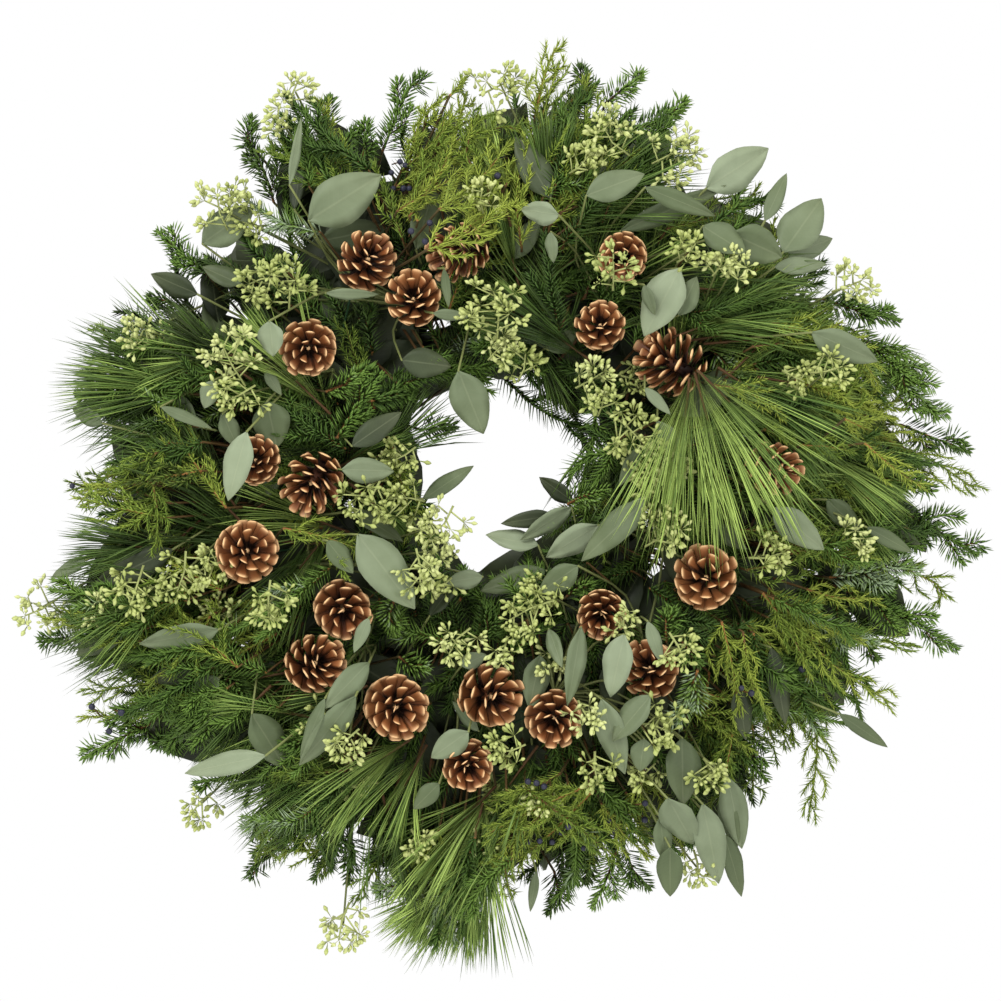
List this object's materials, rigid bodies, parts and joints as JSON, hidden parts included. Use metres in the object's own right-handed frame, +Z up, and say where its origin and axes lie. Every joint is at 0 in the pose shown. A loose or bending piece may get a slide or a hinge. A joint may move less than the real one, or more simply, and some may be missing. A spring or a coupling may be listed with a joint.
{
  "type": "christmas wreath",
  "caption": "Round mixed evergreen christmas wreath of seeded eucalyptus, pine cones, fir, white pine and cedar on a wire clamp ring.",
  "frame": {"origin": "hang point: the underside of the top of the ring rail, where a nail or hook carries the wreath", "axes": "+Z up, +X to the viewer's right, the front of the wreath faces -Y and its flat back faces +Y"},
  "size_m": [0.7186, 0.161, 0.7173],
  "materials": {
    "green_lacquered_steel": "satin green lacquer",
    "pine_cone_scales": "matte woody scales",
    "fir_needles": "waxy dark green needles",
    "white_pine_needles": "soft bright green needles",
    "cedar_foliage": "yellow-green scale foliage",
    "eucalyptus_leaves": "matte grey-green leaves with a bloom"
  },
  "bodies": {
    "root": {"ring_frame": "green_lacquered_steel", "pine_cone_01": "pine_cone_scales", "pine_cone_02": "pine_cone_scales", "pine_cone_03": "pine_cone_scales", "pine_cone_04": "pine_cone_scales", "pine_cone_05": "pine_cone_scales", "pine_cone_06": "pine_cone_scales", "pine_cone_07": "pine_cone_scales", "pine_cone_08": "pine_cone_scales", "pine_cone_09": "pine_cone_scales", "pine_cone_10": "pine_cone_scales", "pine_cone_11": "pine_cone_scales", "pine_cone_12": "pine_cone_scales", "pine_cone_13": "pine_cone_scales", "pine_cone_14": "pine_cone_scales", "pine_cone_15": "pine_cone_scales", "pine_cone_16": "pine_cone_scales", "pine_cone_17": "pine_cone_scales", "pine_cone_18": "pine_cone_scales", "pine_cone_19": "pine_cone_scales", "pine_cone_20": "pine_cone_scales", "fir_01": "fir_needles", "fir_02": "fir_needles", "fir_03": "fir_needles", "fir_04": "fir_needles", "fir_05": "fir_needles", "fir_06": "fir_needles", "fir_07": "fir_needles", "fir_08": "fir_needles", "fir_09": "fir_needles", "fir_10": "fir_needles", "fir_11": "fir_needles", "fir_12": "fir_needles", "fir_13": "fir_needles", "pine_01": "white_pine_needles", "pine_02": "white_pine_needles", "pine_03": "white_pine_needles", "pine_07": "white_pine_needles", "pine_08": "white_pine_needles", "pine_10": "white_pine_needles", "pine_11": "white_pine_needles", "cedar_04": "cedar_foliage", "cedar_05": "cedar_foliage", "cedar_06": "cedar_foliage", "cedar_09": "cedar_foliage", "cedar_12": "cedar_foliage", "cedar_13": "cedar_foliage", "eucalyptus_01": "eucalyptus_leaves", "eucalyptus_02": "eucalyptus_leaves", "eucalyptus_03": "eucalyptus_leaves", "eucalyptus_04": "eucalyptus_leaves", "eucalyptus_05": "eucalyptus_leaves", "eucalyptus_06": "eucalyptus_leaves", "eucalyptus_07": "eucalyptus_leaves", "eucalyptus_08": "eucalyptus_leaves", "eucalyptus_09": "eucalyptus_leaves", "eucalyptus_10": "eucalyptus_leaves", "eucalyptus_11": "eucalyptus_leaves", "eucalyptus_12": "eucalyptus_leaves", "eucalyptus_13": "eucalyptus_leaves"}
  },
  "joints": []
}
